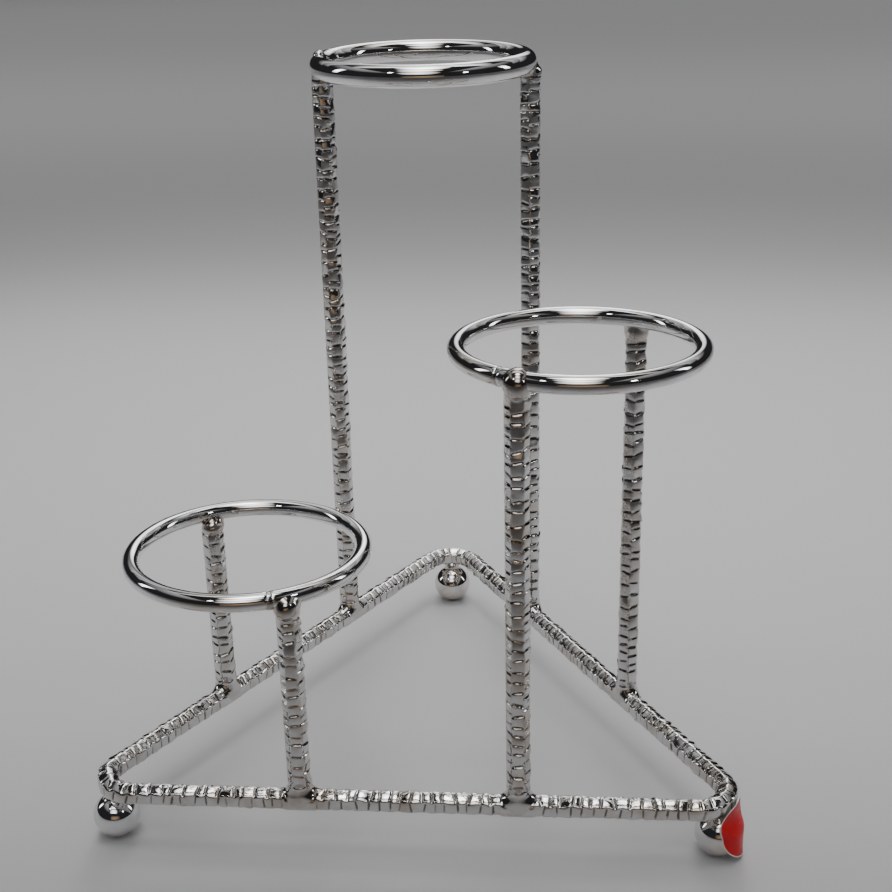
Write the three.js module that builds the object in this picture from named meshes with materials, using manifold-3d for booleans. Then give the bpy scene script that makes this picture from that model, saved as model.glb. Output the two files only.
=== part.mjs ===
// A chrome display stand: a triangle of bent rod on three ball feet, with three
// level rings at three heights, each carried by two upright rods.
//
// Millimetres, +Z up. The drawing plane has X along the front side of the triangle
// and Y towards the back corner. The finished stand is centred on its footprint.

import * as THREE from 'three';
import { mergeVertices } from 'three/addons/utils/BufferGeometryUtils.js';
import Module from 'manifold-3d';

const wasm = await Module();
wasm.setup();

// Driving dimensions.
const SIDE = 182;              // side of the base triangle, between its sharp corners
const ROD_R = 6.35 / 2;        // quarter inch rod of the base and the posts
const BEND_R = 8.8;            // bend radius of the base, at the rod's centreline
const BALL_R = 12.7 / 2;       // half inch ball foot
const BALL_INSET = 10;         // from a sharp corner to its ball, towards the middle
const BALL_Z = 6.2;            // ball centre: the ball is worn flat where it stands
const BASE_Z = 16.5;           // centreline of the base rod
const GAP = 0.3;               // clearance between pieces that are welded together

// Each ring rests on two posts. `along` is how far a post stands from the ring's own
// corner, and `side` is the corner that it stands towards. `shift` is how far the ring
// was welded off the middle of its posts, `tilt` is its slope towards the back in
// degrees, and `seamAfter` is the angle from its first post to its butt weld.
const RINGS = [
  {
    name: 'low', corner: 'left', height: 76.5, wireR: 4.76 / 2, radius: 31.2,
    shift: [0.2, 1.0], tilt: -1.4, seamAfter: -8.6,
    posts: [{ name: 'front', side: 'right', along: 61.8 }, { name: 'rear', side: 'back', along: 60.0 }],
  },
  {
    name: 'mid', corner: 'right', height: 135.2, wireR: 4.76 / 2, radius: 30.9,
    shift: [-0.4, -1.4], tilt: -1.4, seamAfter: -7.7,
    posts: [{ name: 'front', side: 'left', along: 61.9 }, { name: 'rear', side: 'back', along: 63.2 }],
  },
  {
    name: 'tall', corner: 'back', height: 195.8, wireR: 6.35 / 2, radius: 29.8,
    shift: [-0.8, 0.7], tilt: 0.6, seamAfter: -17.8,
    posts: [{ name: 'left', side: 'left', along: 61.7 }, { name: 'right', side: 'right', along: 59.2 }],
  },
];

// Welds.
const FOOT_WELD_TOP_R = 3.3;   // where it meets the post
const FOOT_WELD_SHOULDER_R = 3.9;
const FOOT_WELD_TOE_R = 4.6;   // where it runs out along the base rod
const FOOT_WELD_START = 1.2;   // its lowest part, above the base rod's centreline
const FOOT_WELD_RISE = 2.6;    // height above the base rod
const FOOT_WELD_HALF_W = 3.3;  // half its width across the base rod
const HEAD_WELD_R = 3.3;       // nugget round the head of a post
const HEAD_WELD_DROP = 1.5;    // post end below the underside of the ring wire
const HEAD_WELD_CROWN = 1.2;   // crown above the centre of the ring wire
const HEAD_WELD_CROWN_R = 2.64;
const HEAD_WELD_SHOULDER = 0.6; // where its side ends, below the centre of the ring wire
const HEAD_WELD_BEVEL = 0.5;   // from the edge of the crown to its top
const BALL_WELD_R = 3.4;       // collar between a ball and the base rod
const BALL_WELD_TOP = 14.5;
const BALL_FLAT_Z = 12.0;      // ground spot on top of a ball, under its collar
const SEAM_GAP = 1.6;          // between the two ends of a ring's wire
const SEAM_BEAD = 0.15;        // how far the butt weld stands proud of the wire

// The round paper price dot on the right-hand front corner, wrapped round the ball
// below and round the bend of the base rod above.
const LABEL_R = 16 / 2;
const LABEL_THICKNESS = 0.3;
const LABEL_Z = 9.2;           // its middle
const LABEL_Y = 3.2;           // its middle, behind the front side of the base
const LABEL_LEAVES_BALL_Z = 8;
const LABEL_MEETS_BEND_Z = 14;

// Facets.
const ROD_SIDES = 12;
const BEND_STEPS = 8;
const WIRE_SIDES = 10;
const RING_STEPS = 40;
const BALL_SIDES = 16;
const BALL_STEPS = 8;
const WELD_SIDES = 16;
const LABEL_SIDES = 28;
const LABEL_CIRCLES = 3;
const CUTTER_LENGTH = 40;      // of the tools that cope a foot weld, clear of it all round

const DEG = Math.PI / 180;
const RISE = SIDE * Math.sin(60 * DEG);

const CORNERS = {
  left: new THREE.Vector3(-SIDE / 2, 0, 0),
  right: new THREE.Vector3(SIDE / 2, 0, 0),
  back: new THREE.Vector3(0, RISE, 0),
};
const MIDDLE = new THREE.Vector3(0, RISE / 3, 0);

const chrome = (roughness) => new THREE.MeshStandardMaterial({ color: 0xdcdddf, roughness, metalness: 1 });
const rodChrome = () => chrome(0.16);
const wireChrome = () => chrome(0.06);
const ballChrome = () => chrome(0.05);
const weldChrome = () => chrome(0.14);
const labelPaper = () => new THREE.MeshStandardMaterial({ color: 0xd5121c, roughness: 0.45, metalness: 0 });

// --- helpers -------------------------------------------------------------------

const stand = new THREE.Group();

function add(name, geometry, material) {
  const mesh = new THREE.Mesh(geometry, material);
  mesh.name = name;
  stand.add(mesh);
  return mesh;
}

// A closed geometry with shared corners, ready for a boolean cut.
function merged(geometry) {
  const bare = geometry.clone();
  bare.deleteAttribute('normal');
  bare.deleteAttribute('uv');
  return mergeVertices(bare);
}

function toSolid(geometry) {
  const bare = merged(geometry);
  return new wasm.Manifold(new wasm.Mesh({
    numProp: 3,
    vertProperties: Float32Array.from(bare.attributes.position.array),
    triVerts: Uint32Array.from(bare.index.array),
  }));
}

function toGeometry(solid) {
  const mesh = solid.getMesh();
  const geometry = new THREE.BufferGeometry();
  geometry.setAttribute('position', new THREE.BufferAttribute(Float32Array.from(mesh.vertProperties), 3));
  geometry.setIndex(new THREE.BufferAttribute(Uint32Array.from(mesh.triVerts), 1));
  geometry.computeVertexNormals();
  return geometry;
}

// A solid of revolution standing on the Z axis, from [radius, height] pairs.
function turned(profile, sides) {
  const points = profile.map(([radius, z]) => new THREE.Vector2(radius, z));
  return new THREE.LatheGeometry(points, sides).rotateX(Math.PI / 2);
}

const towards = (from, to) => to.clone().sub(from).normalize();

// --- the base ------------------------------------------------------------------

// The base rod's centreline. Its parameter gives each bend BEND_STEPS equal steps and
// each straight one step, so the facets gather in the bends.
class RoundedTriangle extends THREE.Curve {
  constructor() {
    super();
    this.stations = [];
    const order = [CORNERS.left, CORNERS.right, CORNERS.back];
    for (const corner of order) {
      const inwards = towards(corner, MIDDLE);
      const centre = corner.clone().addScaledVector(inwards, 2 * BEND_R);
      const middleAngle = Math.atan2(-inwards.y, -inwards.x);
      for (let step = 0; step <= BEND_STEPS; step += 1) {
        const angle = middleAngle + (step / BEND_STEPS - 0.5) * 120 * DEG;
        const spoke = new THREE.Vector3(Math.cos(angle), Math.sin(angle), 0);
        this.stations.push(centre.clone().addScaledVector(spoke, BEND_R));
      }
    }
  }

  getPoint(t, target = new THREE.Vector3()) {
    const place = t * this.stations.length;
    const index = Math.floor(place);
    const from = this.stations[index % this.stations.length];
    const to = this.stations[(index + 1) % this.stations.length];
    return target.lerpVectors(from, to, place - index);
  }

  // The tube's sections fall on the stations, whatever their spacing.
  getUtoTmapping(u) {
    return u;
  }
}

function baseLoop(radius) {
  const path = new RoundedTriangle();
  const tube = new THREE.TubeGeometry(path, path.stations.length, radius, ROD_SIDES, true);
  return merged(tube).translate(0, 0, BASE_Z);
}

function addBase() {
  const geometry = baseLoop(ROD_R);
  geometry.computeVertexNormals();
  add('base_frame', geometry, rodChrome());
}

// --- feet ----------------------------------------------------------------------

const ballPlace = (corner) => corner.clone().addScaledVector(towards(corner, MIDDLE), BALL_INSET);

// The ball's outline from its flat underneath to the flat under its collar.
function ballProfile() {
  const lowest = Math.asin(-BALL_Z / BALL_R);
  const highest = Math.asin((BALL_FLAT_Z - BALL_Z) / BALL_R);
  const profile = [[0, 0]];
  for (let step = 0; step <= BALL_STEPS; step += 1) {
    const angle = lowest + (step / BALL_STEPS) * (highest - lowest);
    profile.push([BALL_R * Math.cos(angle), BALL_Z + BALL_R * Math.sin(angle)]);
  }
  profile.push([0, BALL_FLAT_Z]);
  return profile;
}

function addFoot(name, corner) {
  const place = ballPlace(corner);
  const ball = add(`foot_${name}`, turned(ballProfile(), BALL_SIDES), ballChrome());
  ball.position.copy(place);

  const start = BALL_FLAT_Z + GAP;
  const collar = turned(
    [[0, start], [BALL_WELD_R, start], [BALL_WELD_R, BALL_WELD_TOP], [0, BALL_WELD_TOP]],
    WELD_SIDES,
  );
  collar.translate(place.x, place.y, 0);
  const coped = toSolid(collar).subtract(toSolid(baseLoop(ROD_R + GAP)));
  add(`weld_foot_${name}`, toGeometry(coped), weldChrome());
}

// --- rings and posts -----------------------------------------------------------

// The centreline of a ring's wire, from one side of its seam round to the other.
class RingArc extends THREE.Curve {
  constructor(radius, from, to) {
    super();
    Object.assign(this, { radius, from, to });
  }

  getPoint(t, target = new THREE.Vector3()) {
    const angle = this.from + t * (this.to - this.from);
    return target.set(this.radius * Math.cos(angle), this.radius * Math.sin(angle), 0);
  }
}

function postPlace(ring, post) {
  const corner = CORNERS[ring.corner];
  return corner.clone().addScaledVector(towards(corner, CORNERS[post.side]), post.along);
}

// Where a ring stands: about midway between its posts, at its height, tipped slightly.
function ringMatrix(ring) {
  const [first, second] = ring.posts.map((post) => postPlace(ring, post));
  const [shiftX, shiftY] = ring.shift;
  const centre = first.add(second).multiplyScalar(0.5).setZ(ring.height);
  centre.add(new THREE.Vector3(shiftX, shiftY, 0));
  return new THREE.Matrix4().makeRotationX(ring.tilt * DEG).setPosition(centre);
}

// The height of the middle of a ring's wire above a post.
function wireHeight(ring, post) {
  const centre = new THREE.Vector3().setFromMatrixPosition(ringMatrix(ring));
  const away = postPlace(ring, post).sub(centre).y;
  return ring.height + away * Math.tan(ring.tilt * DEG);
}

function addRing(ring) {
  const matrix = ringMatrix(ring);
  const centre = new THREE.Vector3().setFromMatrixPosition(matrix);
  const firstPost = postPlace(ring, ring.posts[0]).sub(centre);
  const seam = Math.atan2(firstPost.y, firstPost.x) + ring.seamAfter * DEG;
  const halfGap = SEAM_GAP / 2 / ring.radius;

  const section = new THREE.Shape().absarc(0, 0, ring.wireR, 0, 2 * Math.PI);
  const path = new RingArc(ring.radius, seam + halfGap, seam + 2 * Math.PI - halfGap);
  const wire = new THREE.ExtrudeGeometry(section, {
    steps: RING_STEPS, curveSegments: WIRE_SIDES / 2, extrudePath: path,
  });
  add(`ring_${ring.name}`, merged(wire).applyMatrix4(matrix), wireChrome());

  const half = SEAM_GAP / 2 - GAP;
  const bead = turned(
    [[0, -half], [ring.wireR, -half], [ring.wireR + SEAM_BEAD, 0], [ring.wireR, half], [0, half]],
    WIRE_SIDES,
  );
  bead.rotateX(-Math.PI / 2).translate(ring.radius, 0, 0).rotateZ(seam).applyMatrix4(matrix);
  add(`seam_${ring.name}`, bead, weldChrome());
}

// An upright rod with square ends, clear of the base rod and of the ring's wire.
function addPost(ring, post, foot, head) {
  const rod = new THREE.CylinderGeometry(ROD_R, ROD_R, head - foot, ROD_SIDES);
  rod.rotateX(Math.PI / 2).translate(0, 0, (foot + head) / 2);
  add(`post_${ring.name}_${post.name}`, rod, rodChrome()).position.copy(postPlace(ring, post));
}

// The fillet weld round a post's foot: it saddles the base rod, spreads along it, and
// is no wider than the rod across it.
function addFootWeld(ring, post, top) {
  const start = BASE_Z + FOOT_WELD_START;
  const middle = (start + top) / 2;
  const cone = turned(
    [
      [0, start],
      [FOOT_WELD_TOE_R, start],
      [FOOT_WELD_SHOULDER_R, middle],
      [FOOT_WELD_TOP_R, top],
      [0, top],
    ],
    WELD_SIDES,
  );
  const trim = new THREE.BoxGeometry(CUTTER_LENGTH, 2 * FOOT_WELD_HALF_W, CUTTER_LENGTH);
  trim.translate(0, 0, BASE_Z);
  const rod = new THREE.CylinderGeometry(ROD_R + GAP, ROD_R + GAP, CUTTER_LENGTH, ROD_SIDES);
  rod.rotateZ(Math.PI / 2).translate(0, 0, BASE_Z);
  const nugget = toGeometry(toSolid(cone).intersect(toSolid(trim)).subtract(toSolid(rod)));

  const along = towards(CORNERS[ring.corner], CORNERS[post.side]);
  const place = postPlace(ring, post);
  nugget.rotateZ(Math.atan2(along.y, along.x)).translate(place.x, place.y, 0);
  add(`weld_${ring.name}_${post.name}_foot`, nugget, weldChrome());
}

// The nugget that joins a post's head to the ring's wire, with a crown over the wire.
function addHeadWeld(ring, post, start) {
  const place = postPlace(ring, post);
  const wire = wireHeight(ring, post);
  const crown = wire + HEAD_WELD_CROWN;
  const dome = turned(
    [
      [0, start],
      [HEAD_WELD_R, start],
      [HEAD_WELD_R, wire - HEAD_WELD_SHOULDER],
      [HEAD_WELD_CROWN_R, crown - HEAD_WELD_BEVEL],
      [0, crown],
    ],
    WELD_SIDES,
  );
  dome.translate(place.x, place.y, 0);
  const cutter = new THREE.TorusGeometry(ring.radius, ring.wireR + GAP, WIRE_SIDES, RING_STEPS);
  cutter.applyMatrix4(ringMatrix(ring));
  const nugget = toGeometry(toSolid(dome).subtract(toSolid(cutter)));
  add(`weld_${ring.name}_${post.name}_top`, nugget, weldChrome());
}

function addRingWithPosts(ring) {
  addRing(ring);
  for (const post of ring.posts) {
    const footWeldTop = BASE_Z + ROD_R + FOOT_WELD_RISE;
    const head = wireHeight(ring, post) - ring.wireR - HEAD_WELD_DROP;
    addPost(ring, post, footWeldTop + GAP, head);
    addFootWeld(ring, post, footWeldTop);
    addHeadWeld(ring, post, head + GAP);
  }
}

// --- the price dot -------------------------------------------------------------

// Bends a flat disc, drawn in X and Y with its thickness in Z, round the corner.
function wrapLabel(geometry) {
  const ball = ballPlace(CORNERS.right);
  const bend = CORNERS.right.clone().addScaledVector(towards(CORNERS.right, MIDDLE), 2 * BEND_R);
  const position = geometry.attributes.position;
  for (let index = 0; index < position.count; index += 1) {
    const z = LABEL_Z + position.getY(index);
    const share = THREE.MathUtils.smoothstep(z, LABEL_LEAVES_BALL_Z, LABEL_MEETS_BEND_Z);
    const centre = ball.clone().lerp(bend, share);
    const radius = THREE.MathUtils.lerp(BALL_R, BEND_R + ROD_R, share) + GAP;
    const angle = Math.asin((LABEL_Y - centre.y) / radius) + position.getX(index) / radius;
    const reach = radius + position.getZ(index);
    position.setXYZ(index, centre.x + reach * Math.cos(angle), centre.y + reach * Math.sin(angle), z);
  }
  return geometry;
}

function addLabel() {
  const step = LABEL_R / LABEL_CIRCLES;
  const circles = Array.from({ length: LABEL_CIRCLES }, (_, index) => (index + 1) * step);
  const back = circles.map((radius) => [radius, 0]);
  const front = circles.map((radius) => [radius, LABEL_THICKNESS]).reverse();
  const disc = merged(turned([[0, 0], ...back, ...front, [0, LABEL_THICKNESS]], LABEL_SIDES));
  const label = wrapLabel(disc);
  label.computeVertexNormals();
  add('label', label, labelPaper());
}

// --- assembly ------------------------------------------------------------------

addBase();
for (const [name, corner] of Object.entries(CORNERS)) {
  addFoot(name, corner);
}
for (const ring of RINGS) {
  addRingWithPosts(ring);
}
addLabel();

// The origin is the middle of the footprint, on the surface that the balls stand on.
const footprint = new THREE.Box3().setFromObject(stand);
const centre = footprint.getCenter(new THREE.Vector3());
stand.position.set(-centre.x, -centre.y, -footprint.min.z);

export default stand;
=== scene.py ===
"""A chrome three-ring display stand: its looks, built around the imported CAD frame.

Metres, +Z up. The front of the base runs along X and the tall ring stands at +Y.
"""

import math

import bmesh
import bpy
import numpy as np
from mathutils import Matrix, Vector


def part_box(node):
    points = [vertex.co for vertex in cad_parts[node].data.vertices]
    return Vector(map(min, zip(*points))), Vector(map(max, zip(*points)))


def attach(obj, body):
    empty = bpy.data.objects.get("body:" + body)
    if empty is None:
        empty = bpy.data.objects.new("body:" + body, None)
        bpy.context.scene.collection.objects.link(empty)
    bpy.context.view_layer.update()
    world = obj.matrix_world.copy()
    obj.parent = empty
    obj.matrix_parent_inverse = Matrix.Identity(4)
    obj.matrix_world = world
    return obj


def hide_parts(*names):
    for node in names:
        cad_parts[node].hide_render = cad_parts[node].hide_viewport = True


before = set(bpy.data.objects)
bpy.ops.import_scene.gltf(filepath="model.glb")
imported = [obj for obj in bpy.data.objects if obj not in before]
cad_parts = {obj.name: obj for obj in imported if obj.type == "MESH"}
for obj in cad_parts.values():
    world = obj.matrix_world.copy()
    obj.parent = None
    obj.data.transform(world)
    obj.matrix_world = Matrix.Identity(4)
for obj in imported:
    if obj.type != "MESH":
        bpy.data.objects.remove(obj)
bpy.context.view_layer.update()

MM = 0.001
TAU = 2 * math.pi

# The stand's driving dimensions, as in the CAD model.
ROD_R = 6.35 / 2 * MM
BEND_R = 8.8 * MM
BASE_Z = 16.5 * MM
BALL_R = 12.7 / 2 * MM
BALL_Z = 6.2 * MM
BALL_INSET = 10 * MM
CORNERS = ("left", "right", "back")
RINGS = {
    "low": {
        "radius": 31.2 * MM, "wire_r": 4.76 / 2 * MM, "shift": (0.2 * MM, 1.0 * MM),
        "tilt": -1.4, "seam_after": -8.6, "posts": ("front", "rear"),
    },
    "mid": {
        "radius": 30.9 * MM, "wire_r": 4.76 / 2 * MM, "shift": (-0.4 * MM, -1.4 * MM),
        "tilt": -1.4, "seam_after": -7.7, "posts": ("front", "rear"),
    },
    "tall": {
        "radius": 29.8 * MM, "wire_r": 6.35 / 2 * MM, "shift": (-0.8 * MM, 0.7 * MM),
        "tilt": 0.6, "seam_after": -17.8, "posts": ("left", "right"),
    },
}

# The rolled texture of the rod: faces along it, each crossed by notches that part it
# into lugs. No two lugs lie quite level.
FACES = 6
FACE_HALF = math.pi / FACES
FACE_FLATNESS = 0.26 * MM
NOTCH_PITCH = 3.1 * MM
PITCH_SPREAD = 0.32
NOTCH_DEPTH = 0.40 * MM
NOTCH_HALF_WIDTH = 0.42 * MM
NOTCH_SLANT = 0.34 * MM
NOTCH_ON_RIDGE = 0.45         # the share of a notch's depth that crosses the ridge
SHOULDER_DEPTH = 0.07 * MM
SHOULDER_HALF_WIDTH = 0.6 * MM
LUG_SINK = 0.15 * MM
LUG_SLOPE = 0.10
LUG_TWIST = 0.05 * MM
UNDULATION = 0.02 * MM
RIPPLES = 14

# Mesh fineness.
ROD_STEP = 0.26 * MM
POST_STEP = 0.20 * MM
ROD_SIDES = 48
WIRE_SIDES = 40
RING_STEPS = 320
WELD_DIVISIONS = 5

# Where welds have left the rod smooth: wholly up to the first distance, and fading
# out by the second. The rod draws in by TUCK to pass under a weld.
BASE_TURN = 0.06
BASE_SEED = 3
HEAD_OVERLAP = 0.2 * MM       # how far a post's head reaches into its ring's wire
BASE_SMOOTH = (3.6 * MM, 5.0 * MM)
FOOT_SMOOTH = (1.6 * MM, 2.8 * MM)
HEAD_SMOOTH = (1.6 * MM, 3.2 * MM)
FOOT_TUCK = (0.0 * MM, 1.6 * MM)
HEAD_TUCK = (0.0 * MM, 1.8 * MM)
TUCK = 0.3 * MM

# Welds.
SKIN = 0.02 * MM              # a weld's skin stands this far proud of what it joins
SKIN_DIP = 0.6 * MM           # and dips this far below it at the weld's end
NOTCH_SKIN = 0.45 * MM        # inside the rod where it keeps its notches
FOOT_BLEND = 2.5 * MM
FOOT_REACH = 6.2 * MM
HEAD_BLEND = 1.7 * MM
HEAD_REACH = 4.8 * MM
SPARE_REACH = 3.0 * MM        # lumps of spare metal may lie this far beyond that
SPARE_BLEND = 1.2 * MM
COLLAR_BLEND = 1.6 * MM
COLLAR_RISE = 0.4 * MM        # its middle, above the top of the ball
COLLAR_R = 2.3 * MM
COLLAR_NECK_BLEND = 1.4 * MM
COLLAR_REACH = 4.2 * MM
SEAM_HALF_GAP = 0.16 * MM
SEAM_SOFTNESS = 0.22 * MM
SEAM_SINK = 0.16 * MM         # its metal in the gap, below the wire
SEAM_LUMP_SINK = 0.1 * MM     # and its lump's radius, less than the wire's
SEAM_LUMP_DROP = 0.3 * MM
SEAM_BLEND = 0.4 * MM
SEAM_REACH = 0.25 * MM        # beyond the wire
RING_BOW = 0.06 * MM
WELD_MARCH = 80

# The ball feet.
BALL_SIDES = 64
BALL_STEPS = 44

FLOOR_SIZE = 12.0

# The price dot.
LABEL_Y = 3.2 * MM            # its middle, behind the front of the base
LABEL_GAP = 0.06 * MM
LABEL_THICKNESS = 0.14 * MM
LABEL_BUCKLE = 0.09 * MM
LABEL_LIFT = 0.12 * MM        # how far its edge lifts
LABEL_LIFT_WIDTH = 0.7 * MM
LABEL_SPOKES = 96
LABEL_CIRCLES = 40
LABEL_LEAVES_BALL = 8 * MM
LABEL_MEETS_BEND = 14 * MM


# --- places, from the frame ------------------------------------------------------

def middle(node):
    low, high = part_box(node)
    return np.array((low + high) / 2)


def ball_place(corner):
    x, y, _ = middle(f"foot_{corner}")
    return np.array((x, y, BALL_Z))


BASE_MIDDLE = sum(ball_place(corner) for corner in CORNERS) / len(CORNERS)


def sharp_corner(corner):
    """Where the centrelines of two sides of the base would meet."""
    place = ball_place(corner)[:2]
    outwards = place - BASE_MIDDLE[:2]
    return place + outwards / np.linalg.norm(outwards) * BALL_INSET


def bend_centre(corner):
    tip = sharp_corner(corner)
    inwards = BASE_MIDDLE[:2] - tip
    return tip + inwards / np.linalg.norm(inwards) * 2 * BEND_R


BEND_CENTRES = [bend_centre(corner) for corner in CORNERS]


def post_axis(ring, post):
    return middle(f"post_{ring}_{post}")[:2]


def ring_centre(ring):
    first, second = (post_axis(ring, post) for post in RINGS[ring]["posts"])
    x, y = (first + second) / 2 + RINGS[ring]["shift"]
    return np.array((x, y, middle(f"ring_{ring}")[2]))


def ring_tilt(ring):
    return math.radians(RINGS[ring]["tilt"])


def wire_height(ring, post):
    """Height of the middle of the ring's wire above a post."""
    centre = ring_centre(ring)
    return centre[2] + (post_axis(ring, post)[1] - centre[1]) * math.tan(ring_tilt(ring))


# --- small maths -----------------------------------------------------------------

def smoothstep(value, low, high):
    share = np.clip((value - low) / (high - low), 0, 1)
    return share * share * (3 - 2 * share)


def smooth_union(first, second, blend):
    share = np.clip(0.5 + 0.5 * (second - first) / blend, 0, 1)
    return second + (first - second) * share - blend * share * (1 - share)


def waves(seed, count, shortest, longest, around):
    """Random gentle waves over (length, angle): a list of (per metre, turns, phase)."""
    random = np.random.default_rng(seed)
    found = []
    for _ in range(count):
        per_metre = TAU / random.uniform(shortest, longest)
        turns = random.integers(-around, around + 1)
        found.append((per_metre, turns, random.uniform(0, TAU)))
    return found


# --- meshes ----------------------------------------------------------------------

def make_mesh(points, faces, node, material):
    """Turns points and faces into a smooth piece that stands for a CAD node."""
    name = f"fine_{node}"
    mesh = bpy.data.meshes.new(name)
    mesh.from_pydata(points.reshape(-1, 3).tolist(), [], faces)
    if signed_volume(mesh) < 0:
        mesh.flip_normals()
    mesh.polygons.foreach_set("use_smooth", [True] * len(mesh.polygons))
    mesh.materials.append(material)
    piece = bpy.data.objects.new(name, mesh)
    bpy.context.scene.collection.objects.link(piece)
    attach(piece, "root")
    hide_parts(node)
    return piece


def signed_volume(mesh):
    mesh.calc_loop_triangles()
    corners = np.empty(len(mesh.loop_triangles) * 3, np.int64)
    mesh.loop_triangles.foreach_get("vertices", corners)
    points = np.empty(len(mesh.vertices) * 3)
    mesh.vertices.foreach_get("co", points)
    a, b, c = np.moveaxis(points.reshape(-1, 3)[corners.reshape(-1, 3)], 1, 0)
    return float(np.einsum("ij,ij->i", a, np.cross(b, c)).sum() / 6)


def tube_faces(count, sides, closed):
    """Quads between sections of a tube, and a fan over each end of an open one."""
    index = np.arange(count * sides).reshape(count, sides)
    turned = np.roll(index, -1, axis=1)
    if closed:
        quads = np.stack([index, turned, np.roll(turned, -1, 0), np.roll(index, -1, 0)], -1)
        return quads.reshape(-1, 4).tolist()
    quads = np.stack([index[:-1], turned[:-1], turned[1:], index[1:]], -1).reshape(-1, 4).tolist()
    first, last = count * sides, count * sides + 1
    for side in range(sides):
        following = (side + 1) % sides
        quads.append([first, index[0][following], index[0][side]])
        quads.append([last, index[-1][side], index[-1][following]])
    return quads


def tube_points(sections, closed):
    """The sections' points, with the middle of each end added for its fan."""
    points = sections.reshape(-1, 3)
    if closed:
        return points
    return np.vstack([points, sections[0].mean(0), sections[-1].mean(0)])


def add_values(piece, name, values):
    """A number for each point of the piece, which its material reads."""
    attribute = piece.data.attributes.new(name, "FLOAT", "POINT")
    padded = np.zeros(len(piece.data.vertices))
    padded[: values.size] = values.ravel()
    attribute.data.foreach_set("value", padded)


# --- the rolled rod --------------------------------------------------------------

def rolled_relief(along, angles, seed):
    """How far a rolled rod's surface lies inside its round outline, and how much of
    that is notch, for each (place along it, angle round it)."""
    random = np.random.default_rng(seed)
    relief = np.zeros((len(along), len(angles)))
    notches = np.zeros_like(relief)
    for face in range(FACES):
        offset = (angles - face * TAU / FACES + FACE_HALF) % TAU - FACE_HALF
        columns = np.flatnonzero(offset < FACE_HALF - 1e-6)
        across = offset[columns] / FACE_HALF
        relief[:, columns] += FACE_FLATNESS * (1 - across**2)
        edge = along[0] - random.uniform(0, NOTCH_PITCH)
        slant = 0.0
        while edge < along[-1]:
            length = NOTCH_PITCH * random.uniform(1 - PITCH_SPREAD, 1 + PITCH_SPREAD)
            next_slant = random.uniform(-NOTCH_SLANT, NOTCH_SLANT)
            after_start = along > edge - NOTCH_PITCH / 2
            before_end = along < edge + length + NOTCH_PITCH / 2
            rows = np.flatnonzero(after_start & before_end)
            place = along[rows][:, None]
            lug, groove = lug_relief(place, across, edge, length, slant, next_slant, random)
            cells = np.ix_(rows, columns)
            relief[cells] += lug + groove
            notches[cells] = np.maximum(notches[cells], groove / NOTCH_DEPTH)
            edge += length
            slant = next_slant
    for per_metre, turns, phase in waves(seed + 1, RIPPLES, 2 * MM, 7 * MM, 4):
        ripple = np.sin(per_metre * along[:, None] + turns * angles[None, :] + phase)
        relief += UNDULATION / math.sqrt(RIPPLES) * ripple
    return relief, notches


def lug_relief(place, across, edge, length, slant, next_slant, random):
    """One lug of a face, a little sunk and out of level, and the notch at its start."""
    start = edge + slant * across
    end = edge + length + next_slant * across
    level = random.uniform(0, LUG_SINK)
    level = level + random.normal(0, LUG_SLOPE) * (place - (start + end) / 2)
    level = level + random.normal(0, LUG_TWIST) * across
    lug = np.where((place >= start) & (place < end), level, 0.0)
    depth = NOTCH_DEPTH * random.uniform(0.55, 1.15)
    middle, reach = random.uniform(-0.25, 0.25), random.uniform(0.5, 0.8)
    window = 1 - (1 - NOTCH_ON_RIDGE) * smoothstep(np.abs(across - middle), reach, reach + 0.4)
    distance = np.abs(place - start)
    groove = depth * np.clip(1 - distance / NOTCH_HALF_WIDTH, 0, 1)
    shoulder = SHOULDER_DEPTH * np.exp(-0.5 * (distance / SHOULDER_HALF_WIDTH) ** 2)
    return lug, (groove + shoulder) * window


def add_rolled_rod(node, line, along, smooth_share, tuck, closed, turn, seed):
    """A rod with the rolled texture, its faces turned about its axis. line is its
    centres, outward directions and upward directions. smooth_share is 1 where a weld
    has left it smooth, and tuck is how far it draws in under a weld."""
    centres, outwards, upwards = line
    angles = np.arange(ROD_SIDES) * TAU / ROD_SIDES
    relief, notch = rolled_relief(along, angles, seed)
    rough_share = (1 - smooth_share)[:, None]
    radius = ROD_R - relief * rough_share - tuck[:, None]
    cosines = np.cos(angles + turn)[None, :, None]
    sines = np.sin(angles + turn)[None, :, None]
    spokes = outwards[:, None, :] * cosines + upwards[:, None, :] * sines
    sections = centres[:, None, :] + spokes * radius[:, :, None]
    faces = tube_faces(len(along), ROD_SIDES, closed)
    points = tube_points(sections, closed)
    piece = make_mesh(points, faces, node, MATERIALS["rod"])
    # the notch share is also where the rod's material paints shade
    add_values(piece, "notch", notch * rough_share)


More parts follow.
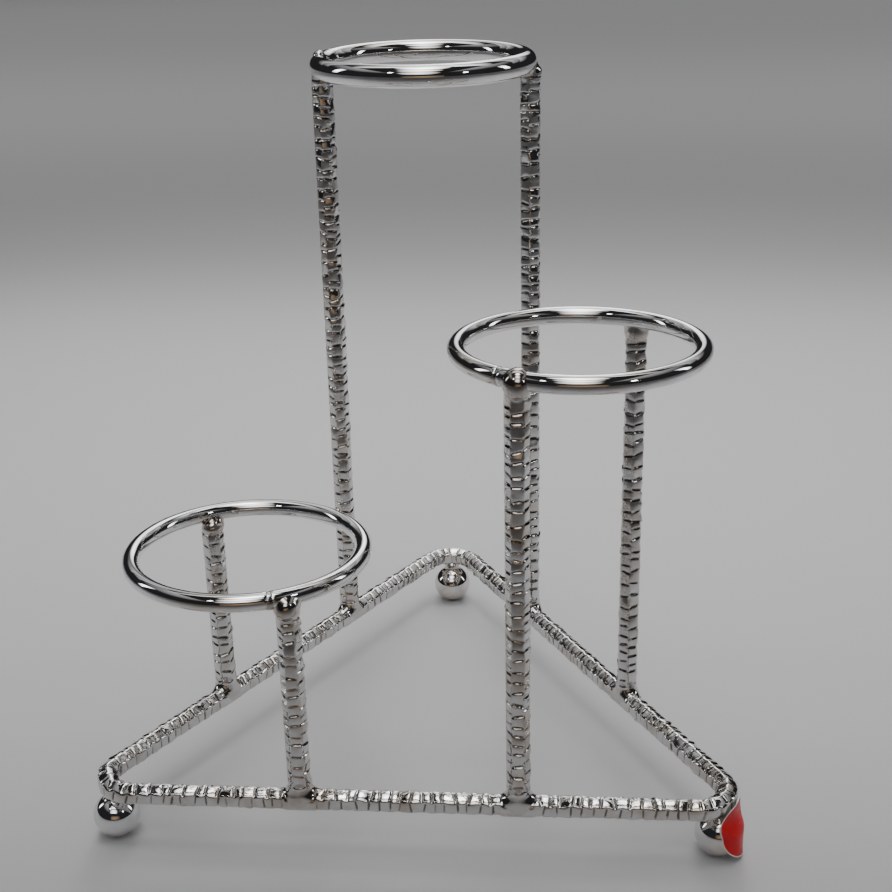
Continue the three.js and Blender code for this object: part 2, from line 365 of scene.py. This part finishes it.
def base_loop():
    """The base rod's centreline: points, outward directions and length along it,
    starting at the low ring's front post, whose weld hides the start."""
    points, outwards = [], []
    for index, centre in enumerate(BEND_CENTRES):
        following = BEND_CENTRES[(index + 1) % len(BEND_CENTRES)]
        side = following - centre
        length = np.linalg.norm(side)
        side_angle = math.atan2(side[1], side[0])
        outward_angle = side_angle - math.pi / 2
        bend_steps = round(BEND_R * TAU / 3 / ROD_STEP)
        for step in range(bend_steps):
            angle = outward_angle - TAU / 3 * (1 - step / bend_steps)
            outward = np.array((math.cos(angle), math.sin(angle), 0))
            outwards.append(outward)
            points.append(np.array((*centre, BASE_Z)) + outward * BEND_R)
        straight_steps = round(length / ROD_STEP)
        outward = np.array((math.cos(outward_angle), math.sin(outward_angle), 0))
        for step in range(straight_steps):
            place = centre + side * step / straight_steps
            outwards.append(outward)
            points.append(np.array((*place, BASE_Z)) + outward * BEND_R)
    points, outwards = np.array(points), np.array(outwards)
    start = np.argmin(np.linalg.norm(points[:, :2] - post_axis("low", "front"), axis=1))
    points, outwards = np.roll(points, -start, 0), np.roll(outwards, -start, 0)
    steps = np.linalg.norm(np.diff(points, axis=0), axis=1)
    return points, outwards, np.concatenate([[0], np.cumsum(steps)])


def add_base():
    points, outwards, along = base_loop()
    upwards = np.tile((0.0, 0.0, 1.0), (len(points), 1))
    smooth_share = np.zeros(len(points))
    for ring, facts in RINGS.items():
        for post in facts["posts"]:
            distance = np.linalg.norm(points[:, :2] - post_axis(ring, post), axis=1)
            smooth_share = np.maximum(smooth_share, 1 - smoothstep(distance, *BASE_SMOOTH))
    line = (points, outwards, upwards)
    tuck = np.zeros(len(points))
    add_rolled_rod("base_frame", line, along, smooth_share, tuck, True, BASE_TURN, BASE_SEED)


def add_post(ring, post, turn, seed):
    x, y = post_axis(ring, post)
    foot = BASE_Z + 0.5 * ROD_R
    head = wire_height(ring, post) - RINGS[ring]["wire_r"] + HEAD_OVERLAP
    count = round((head - foot) / POST_STEP)
    along = np.linspace(foot, head, count)
    points = np.column_stack([np.full(count, x), np.full(count, y), along])
    outwards = np.tile((0.0, -1.0, 0.0), (count, 1))
    upwards = np.tile((1.0, 0.0, 0.0), (count, 1))
    base_top = BASE_Z + ROD_R
    above, below = along - base_top, head - along
    rough_share = np.minimum(smoothstep(above, *FOOT_SMOOTH), smoothstep(below, *HEAD_SMOOTH))
    full_share = np.minimum(smoothstep(above, *FOOT_TUCK), smoothstep(below, *HEAD_TUCK))
    line = (points, outwards, upwards)
    turn = math.radians(turn)
    tuck = TUCK * (1 - full_share)
    add_rolled_rod(f"post_{ring}_{post}", line, along, 1 - rough_share, tuck, False, turn, seed)


# --- rings -----------------------------------------------------------------------

def ring_matrix(ring):
    x, y, z = ring_centre(ring)
    return Matrix.Translation((x, y, z)) @ Matrix.Rotation(ring_tilt(ring), 4, "X")


def seam_angle(ring):
    away = post_axis(ring, RINGS[ring]["posts"][0]) - ring_centre(ring)[:2]
    return math.atan2(away[1], away[0]) + math.radians(RINGS[ring]["seam_after"])


def add_ring(ring, seed):
    """The ring's wire, whose two ends meet at the seam with softened edges."""
    facts = RINGS[ring]
    radius, wire_r = facts["radius"], facts["wire_r"]
    half_gap = SEAM_HALF_GAP / radius
    seam = seam_angle(ring)
    sweep = np.linspace(seam + half_gap, seam + TAU - half_gap, RING_STEPS)
    from_end = np.minimum(sweep - sweep[0], sweep[-1] - sweep) * radius
    wire = wire_r - SEAM_SOFTNESS * np.exp(-from_end / SEAM_SOFTNESS)
    bow = np.zeros(len(sweep))
    for _, turns, phase in waves(seed, 3, 1, 2, 3):
        bow += RING_BOW * np.sin((abs(turns) + 1) * sweep + phase)
    sides = np.arange(WIRE_SIDES) * TAU / WIRE_SIDES
    reach = radius + bow[:, None] + wire[:, None] * np.cos(sides)
    height = wire[:, None] * np.sin(sides)
    sections = np.stack([reach * np.cos(sweep)[:, None], reach * np.sin(sweep)[:, None], height], -1)
    faces = tube_faces(len(sweep), WIRE_SIDES, False)
    node = f"ring_{ring}"
    points = transformed(tube_points(sections, False), ring_matrix(ring))
    make_mesh(points, faces, node, MATERIALS["wire"])


# --- welds -----------------------------------------------------------------------

def transformed(points, matrix):
    turn = np.array(matrix)
    return points @ turn[:3, :3].T + turn[:3, 3]


def ball_field(points, centre, radius):
    return np.linalg.norm(points - centre, axis=-1) - radius


def upright_field(points, x, y, radius, bottom, top):
    """Distance to an upright rod with round ends at the heights bottom and top."""
    height = np.clip(points[:, 2], bottom + radius, top - radius)
    centre = np.stack([np.full(len(points), x), np.full(len(points), y), height], -1)
    return np.linalg.norm(points - centre, axis=-1) - radius


def base_field(points, radius):
    """Distance to the base rod, taken as a plain round one."""
    flat = points[:, :2]
    nearest = np.full(len(points), np.inf)
    for index, start in enumerate(BEND_CENTRES):
        side = BEND_CENTRES[(index + 1) % len(BEND_CENTRES)] - start
        share = np.clip((flat - start) @ side / (side @ side), 0, 1)
        nearest = np.minimum(nearest, np.linalg.norm(flat - start - share[:, None] * side, axis=-1))
    return np.hypot(nearest - BEND_R, points[:, 2] - BASE_Z) - radius


def ring_field(points, ring, radius):
    """Distance to a ring's wire, taken as a plain torus."""
    local = transformed(points, ring_matrix(ring).inverted())
    from_axis = np.linalg.norm(local[:, :2], axis=-1)
    return np.hypot(from_axis - RINGS[ring]["radius"], local[:, 2]) - radius


def skin_dip(points, centre, reach):
    """How far a weld's skin lies inside what it joins: a little proud of it near the
    middle of the weld, below it towards the weld's end, and closed just beyond it."""
    distance = np.linalg.norm(points - centre, axis=-1)
    closing = 3 * np.maximum(distance - reach, 0)
    return SKIN_DIP * smoothstep(distance, 0.55 * reach, reach) + closing - SKIN


def lumps(points, seed, size, height):
    """Gentle unevenness, as molten metal sets."""
    random = np.random.default_rng(seed)
    total = np.zeros(len(points))
    for _ in range(6):
        direction = random.normal(size=3)
        direction /= np.linalg.norm(direction)
        per_metre = TAU / (size * random.uniform(0.7, 1.5))
        total += np.sin(points @ direction * per_metre + random.uniform(0, TAU))
    return height * total / math.sqrt(6)


def unit_ball(divisions):
    mesh = bmesh.new()
    bmesh.ops.create_icosphere(mesh, subdivisions=divisions, radius=1)
    directions = np.array([vertex.co[:] for vertex in mesh.verts])
    faces = [[vertex.index for vertex in face.verts] for face in mesh.faces]
    mesh.free()
    return directions, faces


def add_weld(node, centre, field, reach):
    """A closed skin round centre where field is zero, or at reach where it isn't met."""
    directions, faces = unit_ball(WELD_DIVISIONS)
    low = np.zeros(len(directions))
    inside = np.ones(len(directions), bool)
    step = reach / WELD_MARCH
    for count in range(1, WELD_MARCH + 1):
        inside &= field(centre + directions * (count * step)) < 0
        low[inside] = count * step
    high = np.minimum(low + step, reach)
    for _ in range(10):
        half = (low + high) / 2
        within = field(centre + directions * half[:, None]) < 0
        low = np.where(within, half, low)
        high = np.where(within, high, half)
    points = centre + directions * low[:, None]
    make_mesh(points, faces, node, MATERIALS["weld"])


def add_foot_weld(ring, post, seed):
    """The fillet between a post's foot and the base rod."""
    x, y = post_axis(ring, post)
    centre = np.array((x, y, BASE_Z + 0.6 * ROD_R))

    def field(points):
        upright = upright_field(points, x, y, ROD_R, BASE_Z - 0.2 * ROD_R, BASE_Z + 5 * ROD_R)
        joined = smooth_union(upright, base_field(points, ROD_R), FOOT_BLEND)
        dip = skin_dip(points, centre, FOOT_REACH)
        return joined + dip + lumps(points, seed, 3.5 * MM, 0.04 * MM)

    add_weld(f"weld_{ring}_{post}_foot", centre, field, FOOT_REACH)


def add_head_weld(ring, post, blobs, top, seed):
    """The weld between a post's head and the ring's wire. blobs are round lumps of
    spare metal: offset from the middle of the wire above the post, and radius."""
    x, y = post_axis(ring, post)
    wire = wire_height(ring, post)
    wire_r = RINGS[ring]["wire_r"]
    centre = np.array((x, y, wire - 0.8 * wire_r))

    def field(points):
        upright = upright_field(points, x, y, ROD_R, wire - 5 * ROD_R, wire + top)
        joined = smooth_union(upright, ring_field(points, ring, wire_r), HEAD_BLEND)
        joined += skin_dip(points, centre, HEAD_REACH)
        for offset, radius in blobs:
            lump = ball_field(points, np.array((x, y, wire)) + np.array(offset) * MM, radius * MM)
            joined = smooth_union(joined, lump, SPARE_BLEND)
        return joined + lumps(points, seed, 3.0 * MM, 0.04 * MM)

    add_weld(f"weld_{ring}_{post}_top", centre, field, HEAD_REACH + SPARE_REACH)


def add_ball_weld(corner, seed):
    """The collar between a ball and the bend of the base rod above it."""
    ball = ball_place(corner)
    neck = ball + np.array((0, 0, BALL_R + COLLAR_RISE))

    def field(points):
        rod = base_field(points, ROD_R - NOTCH_SKIN)
        joined = smooth_union(ball_field(points, ball, BALL_R), rod, COLLAR_BLEND)
        joined = smooth_union(joined, ball_field(points, neck, COLLAR_R), COLLAR_NECK_BLEND)
        return joined + lumps(points, seed, 3.0 * MM, 0.05 * MM)

    add_weld(f"weld_foot_{corner}", neck, field, COLLAR_REACH)


def add_seam(ring, seed):
    """The butt weld that closes a ring: metal a little below the wire in the gap, and
    a low lump of it underneath."""
    facts = RINGS[ring]
    angle = seam_angle(ring)
    direction = np.array((math.cos(angle), math.sin(angle), 0))
    centre = transformed(direction * facts["radius"], ring_matrix(ring))

    lump_centre = centre + np.array((0, 0, -SEAM_LUMP_DROP))

    def field(points):
        wire = ring_field(points, ring, facts["wire_r"] - SEAM_SINK)
        lump = ball_field(points, lump_centre, facts["wire_r"] - SEAM_LUMP_SINK)
        joined = smooth_union(wire, lump, SEAM_BLEND)
        return joined + lumps(points, seed, 2.6 * MM, 0.015 * MM)

    add_weld(f"seam_{ring}", centre, field, facts["wire_r"] + SEAM_REACH)


# --- feet ------------------------------------------------------------------------

def add_foot(corner):
    """A ball, worn flat where it stands and ground flat under its collar."""
    node = f"foot_{corner}"
    low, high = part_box(node)
    lowest, highest = (math.asin((end.z - BALL_Z) / BALL_R) for end in (low, high))
    latitudes = np.linspace(lowest, highest, BALL_STEPS)
    sides = np.arange(BALL_SIDES) * TAU / BALL_SIDES
    place = ball_place(corner)
    reach = BALL_R * np.cos(latitudes)[:, None]
    height = BALL_R * np.sin(latitudes)[:, None] + np.zeros(BALL_SIDES)
    sections = np.stack([reach * np.cos(sides), reach * np.sin(sides), height], -1) + place
    points = tube_points(sections, False)
    faces = tube_faces(BALL_STEPS, BALL_SIDES, False)
    make_mesh(points, faces, node, MATERIALS["ball"])


# --- the price dot ---------------------------------------------------------------

def label_frame(height):
    """The plan circle that the dot follows at each height: round the ball below, round
    the bend above. Returns its centres and radii."""
    share = smoothstep(height, LABEL_LEAVES_BALL, LABEL_MEETS_BEND)
    ball = ball_place("right")[:2]
    bend = BEND_CENTRES[CORNERS.index("right")]
    centre = ball + (bend - ball) * share[..., None]
    return centre, BALL_R + (BEND_R + ROD_R - BALL_R) * share


def add_label():
    """A round paper dot, wrapped, a little buckled, with its edge lifting slightly."""
    spokes, circles = LABEL_SPOKES, LABEL_CIRCLES
    low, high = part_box("label")
    middle_z = (low.z + high.z) / 2
    dot_r = (high.z - low.z) / 2
    angles = np.arange(spokes) * TAU / spokes
    radii = dot_r * (np.arange(circles) + 0.5) / (circles - 0.5)
    across = radii[:, None] * np.cos(angles)
    up = radii[:, None] * np.sin(angles)
    height = middle_z + up
    centre, radius = label_frame(height)
    facing = np.arcsin((LABEL_Y + middle_of_front() - centre[..., 1]) / radius)
    creases = across / (1.1 * MM) + 0.4 * up / MM + 0.5 * np.sin(up / (2.0 * MM))
    buckle = LABEL_BUCKLE * np.sin(creases)
    buckle *= smoothstep(up, -7 * MM, 1 * MM) * 0.7 + 0.3
    edge = np.abs(radii[:, None] - dot_r) + np.zeros_like(across)
    lift = LABEL_LIFT * np.exp(-edge / LABEL_LIFT_WIDTH) * (1 + np.sin(3 * angles + 1))
    sections = []
    for layer in (LABEL_GAP, LABEL_GAP + LABEL_THICKNESS):
        reach = radius + layer + buckle + LABEL_BUCKLE + lift
        turn = facing + across / radius
        sections.append(np.stack([
            centre[..., 0] + reach * np.cos(turn),
            centre[..., 1] + reach * np.sin(turn),
            height,
        ], -1))
    back, front = sections
    sheet = np.concatenate([back, front[::-1]])
    faces = tube_faces(len(sheet), spokes, False)
    points = tube_points(sheet, False)
    piece = make_mesh(points, faces, "label", MATERIALS["label"])
    share = np.concatenate([radii, radii[::-1]]) / dot_r
    add_values(piece, "from_middle", share[:, None] + np.zeros((1, spokes)))
    add_values(piece, "printed", np.repeat([0.0, 1.0], circles)[:, None] + np.zeros((1, spokes)))


def middle_of_front():
    """Y of the centreline of the front of the base."""
    return (sharp_corner("left")[1] + sharp_corner("right")[1]) / 2


# --- materials -------------------------------------------------------------------

# For each finish: plate colour, stain colour, least and most roughness, and how many
# waves per metre and how deep its skin's unevenness is.
CHROMES = {
    "rod": ((0.70, 0.69, 0.68, 1), (0.48, 0.41, 0.34, 1), (0.05, 0.15), 900.0, 0.04 * MM),
    "wire": ((0.80, 0.80, 0.81, 1), (0.68, 0.63, 0.56, 1), (0.025, 0.08), 300.0, 0.01 * MM),
    "ball": ((0.78, 0.78, 0.79, 1), (0.62, 0.52, 0.42, 1), (0.03, 0.09), 300.0, 0.01 * MM),
    "weld": ((0.62, 0.60, 0.58, 1), (0.42, 0.35, 0.28, 1), (0.05, 0.16), 700.0, 0.03 * MM),
}
# painted shade: the dark colour laid into the rod's notches
PAINTED_NOTCH_SHADE = (0.11, 0.09, 0.07, 1)
DEEP_RED = (0.58, 0.003, 0.008, 1)
BRIGHT_RED = (0.76, 0.010, 0.018, 1)
BARE_PAPER = (0.86, 0.83, 0.80, 1)
FLOOR_GREY = (0.55, 0.55, 0.56, 1)
DARK_ROOM = (0.02, 0.02, 0.022, 1)
WHITE = (1, 1, 1)
WARM = (1.0, 0.66, 0.38)


def new_material(name):
    material = bpy.data.materials.new(name)
    material.use_nodes = True
    nodes = material.node_tree.nodes
    nodes.clear()
    output = nodes.new("ShaderNodeOutputMaterial")
    shader = nodes.new("ShaderNodeBsdfPrincipled")
    material.node_tree.links.new(shader.outputs["BSDF"], output.inputs["Surface"])
    return material, shader


def add_node(material, kind, inputs=None, **settings):
    """A node with some inputs set: a number or colour is put in, a socket is linked."""
    node = material.node_tree.nodes.new(kind)
    for key, value in settings.items():
        setattr(node, key, value)
    for key, value in (inputs or {}).items():
        if isinstance(value, bpy.types.NodeSocket):
            material.node_tree.links.new(value, node.inputs[key])
        else:
            node.inputs[key].default_value = value
    return node


def noise(material, scale, detail=3.0, roughness=0.5, distortion=0.0):
    place = add_node(material, "ShaderNodeTexCoord").outputs["Object"]
    inputs = {
        "Vector": place, "Scale": scale, "Detail": detail,
        "Roughness": roughness, "Distortion": distortion,
    }
    return add_node(material, "ShaderNodeTexNoise", inputs).outputs["Fac"]


def ranged(material, value, low, high, new_low, new_high):
    inputs = {"Value": value, "From Min": low, "From Max": high, "To Min": new_low, "To Max": new_high}
    return add_node(material, "ShaderNodeMapRange", inputs).outputs["Result"]


def mixed(material, share, first, second):
    node = add_node(material, "ShaderNodeMix", data_type="RGBA")
    links = material.node_tree.links
    sockets = (node.inputs[0], node.inputs[6], node.inputs[7])
    for socket, value in zip(sockets, (share, first, second)):
        if isinstance(value, bpy.types.NodeSocket):
            links.new(value, socket)
        else:
            socket.default_value = value
    return node.outputs[2]


def bumped(material, height, distance, strength=1.0):
    inputs = {"Height": height, "Distance": distance, "Strength": strength}
    return add_node(material, "ShaderNodeBump", inputs).outputs["Normal"]


def chrome(name):
    """Chrome plate: a warm stain and dulling in patches, over a fine skin."""
    bright, stain, (smooth, dull), bump_scale, bump_height = CHROMES[name]
    material, shader = new_material(f"{name}_chrome")
    links = material.node_tree.links
    shader.inputs["Metallic"].default_value = 1.0
    stained = ranged(material, noise(material, 90.0, 4.0, 0.6, 0.4), 0.45, 0.75, 0.0, 1.0)
    links.new(mixed(material, stained, bright, stain), shader.inputs["Base Color"])
    hazed = ranged(material, noise(material, 160.0, 5.0, 0.65), 0.35, 0.75, smooth, dull)
    links.new(hazed, shader.inputs["Roughness"])
    links.new(bumped(material, noise(material, bump_scale, 2.0), bump_height), shader.inputs["Normal"])
    return material, shader


def rod_material():
    """Chrome over the rolled rod, with painted shade darkening it down in the notches."""
    material, shader = chrome("rod")
    links = material.node_tree.links
    notch = add_node(material, "ShaderNodeAttribute", attribute_name="notch").outputs["Fac"]
    # painted shade: the deeper the notch, the darker the plate is painted
    depth = ranged(material, notch, 0.25, 0.85, 0.0, 0.9)
    plate = shader.inputs["Base Color"].links[0].from_socket
    links.new(mixed(material, depth, plate, PAINTED_NOTCH_SHADE), shader.inputs["Base Color"])
    return material


def label_material():
    """Coated red paper with a white cut edge, faint creases and a few worn specks."""
    material, shader = new_material("label_paper")
    links = material.node_tree.links
    red = mixed(material, noise(material, 260.0, 3.0), DEEP_RED, BRIGHT_RED)
    from_middle = add_node(material, "ShaderNodeAttribute", attribute_name="from_middle").outputs["Fac"]
    printed = add_node(material, "ShaderNodeAttribute", attribute_name="printed").outputs["Fac"]
    rim = ranged(material, from_middle, 0.955, 0.97, 0.0, 1.0)
    worn = ranged(material, noise(material, 1500.0, 2.0), 0.735, 0.76, 0.0, 1.0)
    face = mixed(material, worn, mixed(material, rim, red, BARE_PAPER), BARE_PAPER)
    links.new(mixed(material, printed, BARE_PAPER, face), shader.inputs["Base Color"])
    shader.inputs["Specular IOR Level"].default_value = 0.3
    links.new(ranged(material, noise(material, 400.0), 0.3, 0.7, 0.3, 0.45), shader.inputs["Roughness"])
    links.new(bumped(material, noise(material, 700.0, 4.0), 0.05 * MM), shader.inputs["Normal"])
    return material


MATERIALS = {
    "rod": rod_material(),
    "wire": chrome("wire")[0],
    "ball": chrome("ball")[0],
    "weld": chrome("weld")[0],
    "label": label_material(),
}


# --- the object ------------------------------------------------------------------

HEADS = {
    # Spare metal on each head weld, and how far the post's round head rises above the
    # middle of the wire. Offsets and radii are in millimetres.
    ("low", "front"): {"turn": 8, "top": -0.6, "blobs": [((0.0, -1.1, -2.3), 3.4)]},
    ("low", "rear"): {"turn": 22, "top": -2.2, "blobs": [((0.2, 1.0, -3.4), 3.0)]},
    ("mid", "front"): {"turn": 3, "top": 0.2, "blobs": [((0.2, -2.0, -0.6), 3.8)]},
    ("mid", "rear"): {"turn": 31, "top": -1.4, "blobs": [((0.0, -0.5, -3.6), 3.2)]},
    ("tall", "left"): {"turn": 17, "top": -0.6, "blobs": [((-0.3, -1.6, 2.3), 1.9)]},
    ("tall", "right"): {"turn": 26, "top": -0.8, "blobs": [((2.0, -0.4, -2.8), 1.2)]},
}

add_base()
for corner_number, corner_name in enumerate(CORNERS):
    add_foot(corner_name)
    add_ball_weld(corner_name, 300 + corner_number)
for ring_number, (ring_name, ring_facts) in enumerate(RINGS.items()):
    add_ring(ring_name, 400 + ring_number)
    add_seam(ring_name, 500 + ring_number)
    for post_number, post_name in enumerate(ring_facts["posts"]):
        number = 2 * ring_number + post_number
        head = HEADS[ring_name, post_name]
        add_post(ring_name, post_name, head["turn"], 10 + 7 * number)
        add_foot_weld(ring_name, post_name, 600 + number)
        add_head_weld(ring_name, post_name, head["blobs"], head["top"] * MM, 700 + number)
add_label()


# --- floor, light and camera -----------------------------------------------------

def add_floor():
    mesh = bpy.data.meshes.new("floor")
    half = FLOOR_SIZE / 2
    corners = [(-half, -half, 0), (half, -half, 0), (half, half, 0), (-half, half, 0)]
    mesh.from_pydata(corners, [], [(0, 1, 2, 3)])
    material, shader = new_material("floor")
    shader.inputs["Base Color"].default_value = FLOOR_GREY
    shader.inputs["Roughness"].default_value = 0.6
    mesh.materials.append(material)
    floor = bpy.data.objects.new("floor", mesh)
    bpy.context.scene.collection.objects.link(floor)


def add_softbox(name, place, target, width, height, radiance, spread, colour):
    """A rectangular lamp that shows in reflections but not to the camera. radiance is
    how bright it looks from straight ahead, in watts per square metre and steradian,
    and spread is the angle that a grid over it lets through, in degrees."""
    light = bpy.data.lights.new(name, "AREA")
    light.shape = "RECTANGLE"
    light.size = width
    light.size_y = height
    light.spread = math.radians(spread)
    half_spread = light.spread / 2
    grid_share = 1 - half_spread / math.tan(half_spread)
    light.energy = radiance * math.pi * width * height * grid_share
    light.color = colour
    lamp = bpy.data.objects.new(name, light)
    lamp.visible_camera = False
    lamp.location = place
    lamp.rotation_euler = (Vector(target) - Vector(place)).to_track_quat("-Z", "Y").to_euler()
    bpy.context.scene.collection.objects.link(lamp)


def add_world():
    world = bpy.data.worlds.new("studio")
    world.use_nodes = True
    background = world.node_tree.nodes["Background"]
    background.inputs["Color"].default_value = DARK_ROOM
    background.inputs["Strength"].default_value = 1.0
    bpy.context.scene.world = world


CAMERA_FROM_MIDDLE = (0.0402, -0.3673)
CAMERA_HEIGHT = 0.24385
CAMERA_PLACE = (*(BASE_MIDDLE[:2] + CAMERA_FROM_MIDDLE), CAMERA_HEIGHT)
CAMERA_YAW = math.radians(-5.105)
CAMERA_PITCH = math.radians(-21.62)
CAMERA_ROLL = math.radians(-1.364)
CAMERA_LENS = 57.32
SENSOR = 36.0


def add_camera():
    forward = Vector((
        math.sin(CAMERA_YAW) * math.cos(CAMERA_PITCH),
        math.cos(CAMERA_YAW) * math.cos(CAMERA_PITCH),
        math.sin(CAMERA_PITCH),
    ))
    level = Vector((math.cos(CAMERA_YAW), -math.sin(CAMERA_YAW), 0))
    upright = level.cross(forward)
    right = level * math.cos(CAMERA_ROLL) + upright * math.sin(CAMERA_ROLL)
    up = upright * math.cos(CAMERA_ROLL) - level * math.sin(CAMERA_ROLL)
    camera = bpy.data.cameras.new("camera")
    camera.lens = CAMERA_LENS
    camera.sensor_width = SENSOR
    camera.clip_start = 0.01
    eye = bpy.data.objects.new("camera", camera)
    turn = Matrix((right, up, -forward)).transposed().to_4x4()
    eye.matrix_world = Matrix.Translation(CAMERA_PLACE) @ turn
    bpy.context.scene.collection.objects.link(eye)
    bpy.context.scene.camera = eye


STAND_MIDDLE = (0, 0, 0.08)
# Each lamp: its place, what it is aimed at, width, height, radiance and spread. Those
# named floor are there for the far floor, and reach the stand only faintly.
LAMPS = {
    "top": ((0.0, 0.15, 0.58), (0.0, 0.17, 0.0), 0.80, 0.62, 10.0, 30),
    "ceiling": ((0.0, 0.30, 0.60), (0.0, 0.32, 0.0), 0.90, 0.44, 4.5, 80),
    "back_floor": ((0.0, 1.20, 1.00), (0.0, 1.20, 0.0), 2.60, 0.90, 1.3, 130),
    "far_floor": ((0.0, 2.90, 1.60), (0.0, 2.90, 0.0), 5.00, 1.60, 1.3, 140),
    "left_floor": ((-2.20, 0.0, 1.60), (-2.20, 0.0, 0.0), 2.40, 4.40, 0.8, 110),
    "right_floor": ((2.20, 0.0, 1.60), (2.20, 0.0, 0.0), 2.40, 4.40, 0.8, 110),
    "front_floor": ((0.0, -2.70, 1.60), (0.0, -2.70, 0.0), 3.60, 2.40, 0.5, 100),
    "back_card": ((0.0, 1.30, 0.64), STAND_MIDDLE, 1.60, 0.45, 4.0, 30),
    "back_high": ((0.0, 0.72, 0.70), STAND_MIDDLE, 1.10, 0.50, 4.5, 26),
    "front_high": ((0.0, -0.36, 0.78), STAND_MIDDLE, 0.90, 0.36, 5.0, 34),
    "front_card": ((0.0, -0.95, 0.85), STAND_MIDDLE, 1.60, 0.42, 3.5, 38),
    "left_strip": ((-0.85, 0.05, 0.45), STAND_MIDDLE, 0.12, 0.60, 8.0, 30),
    "right_strip": ((0.85, 0.15, 0.42), STAND_MIDDLE, 0.12, 0.60, 8.0, 30),
    "left_spark": ((-0.45, -0.70, 0.95), STAND_MIDDLE, 0.08, 0.08, 20.0, 30),
    "right_spark": ((0.70, -0.60, 0.60), STAND_MIDDLE, 0.08, 0.10, 20.0, 30),
    "warm_wall": ((0.10, -1.10, 0.22), STAND_MIDDLE, 0.80, 0.30, 0.40, 60),
}

add_floor()
add_world()
for lamp_name, lamp_facts in LAMPS.items():
    add_softbox(lamp_name, *lamp_facts, WARM if lamp_name == "warm_wall" else WHITE)
add_camera()
